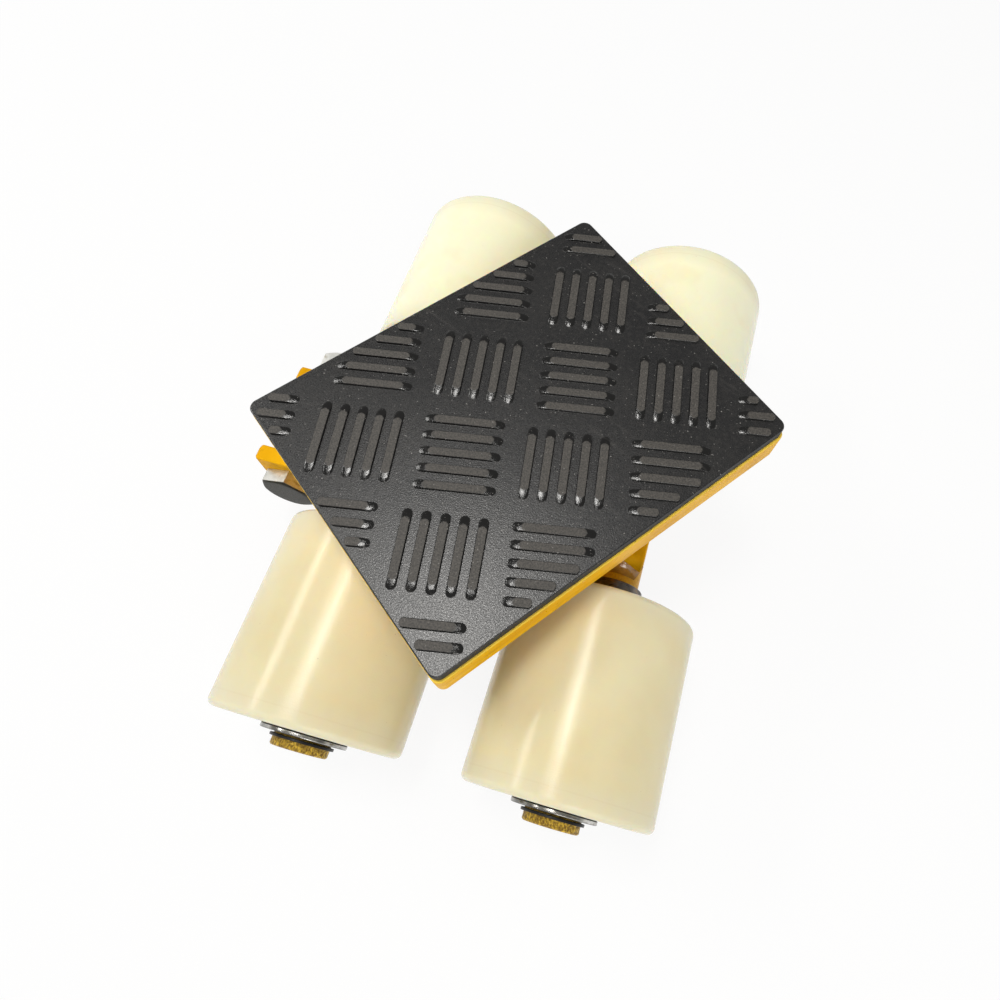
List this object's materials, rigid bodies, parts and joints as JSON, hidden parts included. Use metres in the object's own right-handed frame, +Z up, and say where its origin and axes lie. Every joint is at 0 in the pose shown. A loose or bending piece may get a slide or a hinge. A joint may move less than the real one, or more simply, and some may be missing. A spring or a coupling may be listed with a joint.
{
  "type": "moving dolly",
  "caption": "Low moving dolly with wide ivory nylon rollers on two axles, a yellow steel frame with towing lugs, and a swivelling steel top plate faced with a black rubber pad with raised bars",
  "frame": {"origin": "on the floor, on the swivel axis of the top plate", "axes": "+Z up; X is the rolling direction with the towing lugs at -X; Y runs along the axles"},
  "size_m": [0.2392, 0.298, 0.1119],
  "materials": {
    "yellow_paint": "gloss enamel over plain steel",
    "charcoal_rubber": "moulded, lightly scuffed",
    "ivory_nylon": "turned cast nylon, satin",
    "zinc_steel": "bright zinc",
    "dark_steel": "oiled, turned",
    "black_spring_steel": "black phosphate",
    "bearing_steel": "ground",
    "ball_steel": "polished",
    "seal_rubber": "moulded",
    "cage_plastic": "moulded",
    "bush_brass": "machined"
  },
  "bodies": {
    "frame": {"frame_channel": "yellow_paint", "tow_lug_left": "yellow_paint", "tow_lug_right": "yellow_paint", "tow_bolt": "zinc_steel", "tow_bolt_washer": "zinc_steel", "tow_nut": "zinc_steel", "axle_front": "yellow_paint", "axle_rear": "yellow_paint", "axle_collars": "dark_steel", "axle_washers": "zinc_steel", "axle_circlips": "black_spring_steel", "bearing_inner_rings_front_left": "bearing_steel", "bearing_inner_rings_front_right": "bearing_steel", "bearing_inner_rings_rear_left": "bearing_steel", "bearing_inner_rings_rear_right": "bearing_steel", "bearing_sleeve_front_left": "dark_steel", "bearing_sleeve_front_right": "dark_steel", "bearing_sleeve_rear_left": "dark_steel", "bearing_sleeve_rear_right": "dark_steel", "base_disc": "yellow_paint", "pivot_bush": "bush_brass", "thrust_race_lower": "bearing_steel"},
    "turntable": {"top_plate": "yellow_paint", "rubber_pad": "charcoal_rubber", "thrust_race_upper": "bearing_steel", "pivot_spindle": "dark_steel", "pivot_washer": "zinc_steel", "pivot_nut": "zinc_steel", "split_pin": "zinc_steel"},
    "thrust_set": {"thrust_balls": "ball_steel", "thrust_cage": "bush_brass"},
    "front_left_roller": {"roller_front_left": "ivory_nylon", "bearing_outer_rings_front_left": "bearing_steel", "bearing_seals_front_left": "seal_rubber"},
    "front_left_ball_sets": {"bearing_balls_front_left": "ball_steel", "bearing_cages_front_left": "cage_plastic"},
    "front_right_roller": {"roller_front_right": "ivory_nylon", "bearing_outer_rings_front_right": "bearing_steel", "bearing_seals_front_right": "seal_rubber"},
    "front_right_ball_sets": {"bearing_balls_front_right": "ball_steel", "bearing_cages_front_right": "cage_plastic"},
    "rear_left_roller": {"roller_rear_left": "ivory_nylon", "bearing_outer_rings_rear_left": "bearing_steel", "bearing_seals_rear_left": "seal_rubber"},
    "rear_left_ball_sets": {"bearing_balls_rear_left": "ball_steel", "bearing_cages_rear_left": "cage_plastic"},
    "rear_right_roller": {"roller_rear_right": "ivory_nylon", "bearing_outer_rings_rear_right": "bearing_steel", "bearing_seals_rear_right": "seal_rubber"},
    "rear_right_ball_sets": {"bearing_balls_rear_right": "ball_steel", "bearing_cages_rear_right": "cage_plastic"}
  },
  "joints": [
    {"name": "turntable_swivel", "type": "hinge", "parent": "frame", "child": "turntable", "pos_m": [0, 0, 0.0895], "axis": [0, 0, 1], "continuous": true},
    {"name": "thrust_set_turn", "type": "hinge", "parent": "frame", "child": "thrust_set", "pos_m": [0, 0, 0.0795], "axis": [0, 0, 1], "continuous": true},
    {"name": "front_left_spin", "type": "hinge", "parent": "frame", "child": "front_left_roller", "pos_m": [-0.0565, -0.0965, 0.0425], "axis": [0, 1, 0], "continuous": true},
    {"name": "front_left_balls_turn", "type": "hinge", "parent": "frame", "child": "front_left_ball_sets", "pos_m": [-0.0565, -0.0965, 0.0425], "axis": [0, 1, 0], "continuous": true},
    {"name": "front_right_spin", "type": "hinge", "parent": "frame", "child": "front_right_roller", "pos_m": [-0.0565, 0.0965, 0.0425], "axis": [0, 1, 0], "continuous": true},
    {"name": "front_right_balls_turn", "type": "hinge", "parent": "frame", "child": "front_right_ball_sets", "pos_m": [-0.0565, 0.0965, 0.0425], "axis": [0, 1, 0], "continuous": true},
    {"name": "rear_left_spin", "type": "hinge", "parent": "frame", "child": "rear_left_roller", "pos_m": [0.0565, -0.0965, 0.0425], "axis": [0, 1, 0], "continuous": true},
    {"name": "rear_left_balls_turn", "type": "hinge", "parent": "frame", "child": "rear_left_ball_sets", "pos_m": [0.0565, -0.0965, 0.0425], "axis": [0, 1, 0], "continuous": true},
    {"name": "rear_right_spin", "type": "hinge", "parent": "frame", "child": "rear_right_roller", "pos_m": [0.0565, 0.0965, 0.0425], "axis": [0, 1, 0], "continuous": true},
    {"name": "rear_right_balls_turn", "type": "hinge", "parent": "frame", "child": "rear_right_ball_sets", "pos_m": [0.0565, 0.0965, 0.0425], "axis": [0, 1, 0], "continuous": true}
  ],
  "couplings": [
    {"joint": "thrust_set_turn", "follows": "turntable_swivel", "ratio": 0.5},
    {"joint": "front_left_balls_turn", "follows": "front_left_spin", "ratio": 0.6018},
    {"joint": "front_right_balls_turn", "follows": "front_right_spin", "ratio": 0.6018},
    {"joint": "rear_left_balls_turn", "follows": "rear_left_spin", "ratio": 0.6018},
    {"joint": "rear_right_balls_turn", "follows": "rear_right_spin", "ratio": 0.6018}
  ]
}
